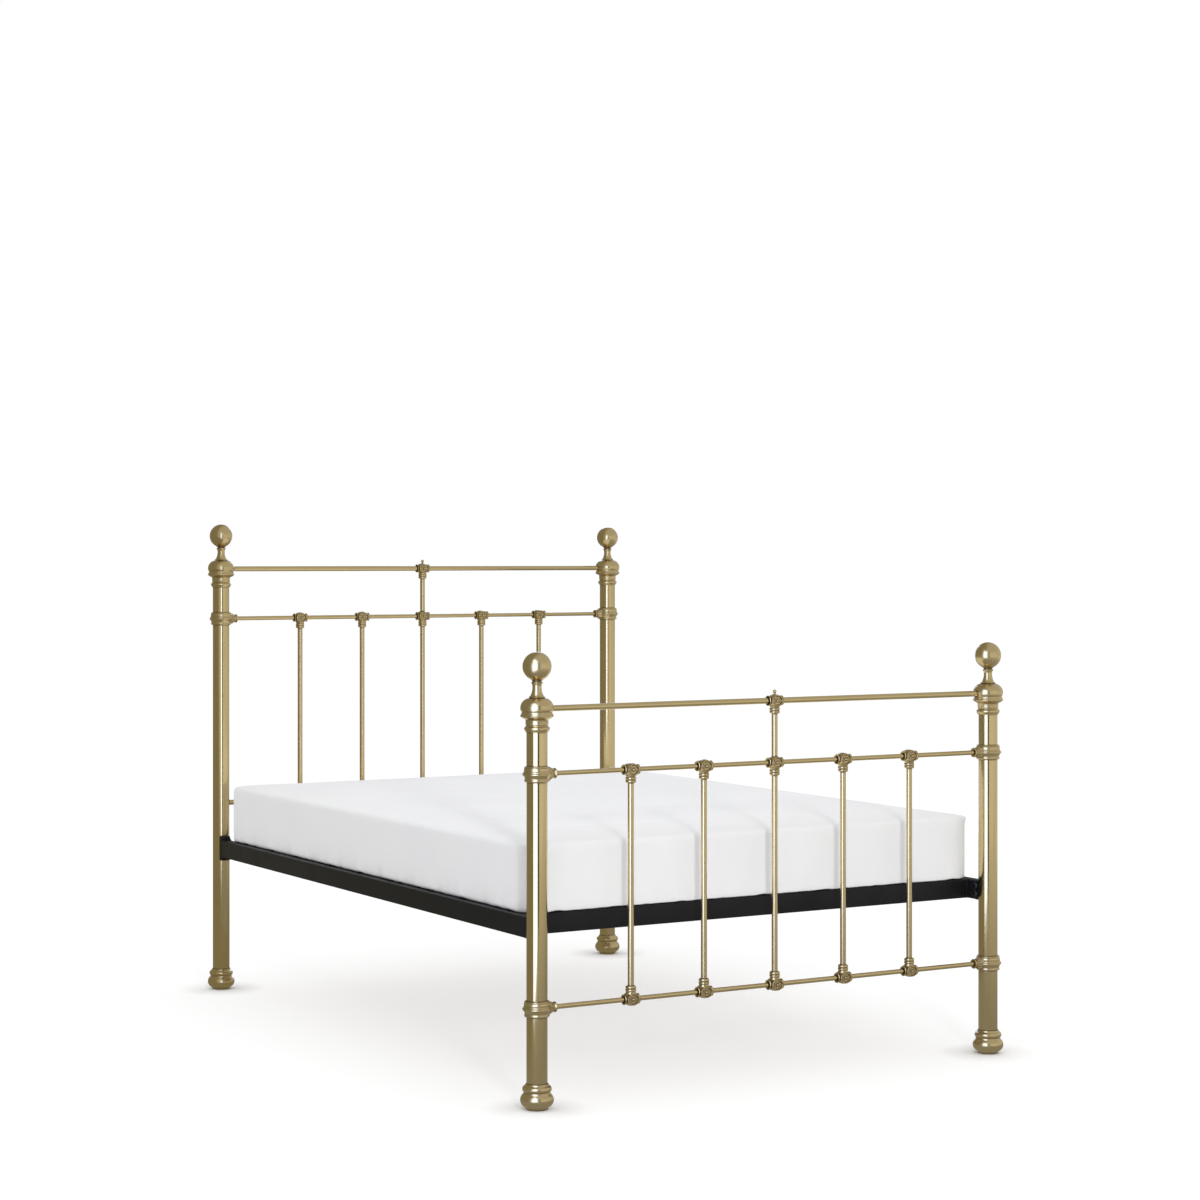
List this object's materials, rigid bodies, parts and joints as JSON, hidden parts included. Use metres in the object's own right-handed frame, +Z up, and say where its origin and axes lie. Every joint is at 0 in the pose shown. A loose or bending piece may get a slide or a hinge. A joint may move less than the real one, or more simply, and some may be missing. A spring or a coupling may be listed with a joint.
{
  "type": "metal bedstead with mattress",
  "caption": "Brass-finish metal double bedstead with ball-topped posts, spindled head and foot ends, black side rails, slatted base and a lift-out mattress.",
  "frame": {"origin": "on the floor, under the middle of the bed", "axes": "+Z up, -Y towards the foot end, +Y towards the head end, +X to the right seen from the foot"},
  "size_m": [1.435, 2.04, 1.4],
  "materials": {
    "brass_finish": "antique satin",
    "black_paint": "satin powder coat",
    "beech_slats": "lacquered",
    "mattress_cover": "smooth knitted cover"
  },
  "bodies": {
    "bedstead": {"centre_rail": "black_paint", "foot_cross_rail": "black_paint", "foot_left_cap": "brass_finish", "foot_left_finial": "brass_finish", "foot_left_foot": "brass_finish", "foot_left_low_collar": "brass_finish", "foot_left_mid_collar": "brass_finish", "foot_left_post": "brass_finish", "foot_right_cap": "brass_finish", "foot_right_finial": "brass_finish", "foot_right_foot": "brass_finish", "foot_right_low_collar": "brass_finish", "foot_right_mid_collar": "brass_finish", "foot_right_post": "brass_finish", "footboard_low_rail": "brass_finish", "footboard_mid_rail": "brass_finish", "footboard_spindle_1": "brass_finish", "footboard_spindle_2": "brass_finish", "footboard_spindle_3": "brass_finish", "footboard_spindle_4": "brass_finish", "footboard_spindle_5": "brass_finish", "footboard_top_rail": "brass_finish", "footboard_upper_spindle": "brass_finish", "head_cross_rail": "black_paint", "head_left_cap": "brass_finish", "head_left_finial": "brass_finish", "head_left_foot": "brass_finish", "head_left_mid_collar": "brass_finish", "head_left_post": "brass_finish", "head_right_cap": "brass_finish", "head_right_finial": "brass_finish", "head_right_foot": "brass_finish", "head_right_mid_collar": "brass_finish", "head_right_post": "brass_finish", "headboard_low_rail": "brass_finish", "headboard_mid_rail": "brass_finish", "headboard_spindle_1": "brass_finish", "headboard_spindle_2": "brass_finish", "headboard_spindle_3": "brass_finish", "headboard_spindle_4": "brass_finish", "headboard_spindle_5": "brass_finish", "headboard_top_rail": "brass_finish", "headboard_upper_spindle": "brass_finish", "left_side_rail": "black_paint", "right_side_rail": "black_paint", "slat_01": "beech_slats", "slat_02": "beech_slats", "slat_03": "beech_slats", "slat_04": "beech_slats", "slat_05": "beech_slats", "slat_06": "beech_slats", "slat_07": "beech_slats", "slat_08": "beech_slats", "slat_09": "beech_slats", "slat_10": "beech_slats", "slat_11": "beech_slats", "slat_12": "beech_slats", "slat_13": "beech_slats", "slat_14": "beech_slats"},
    "mattress": {"mattress": "mattress_cover"}
  },
  "joints": [
    {"name": "mattress_lift", "type": "slide", "parent": "bedstead", "child": "mattress", "axis": [0, 0, 1], "range_m": [0, 0.96]}
  ]
}
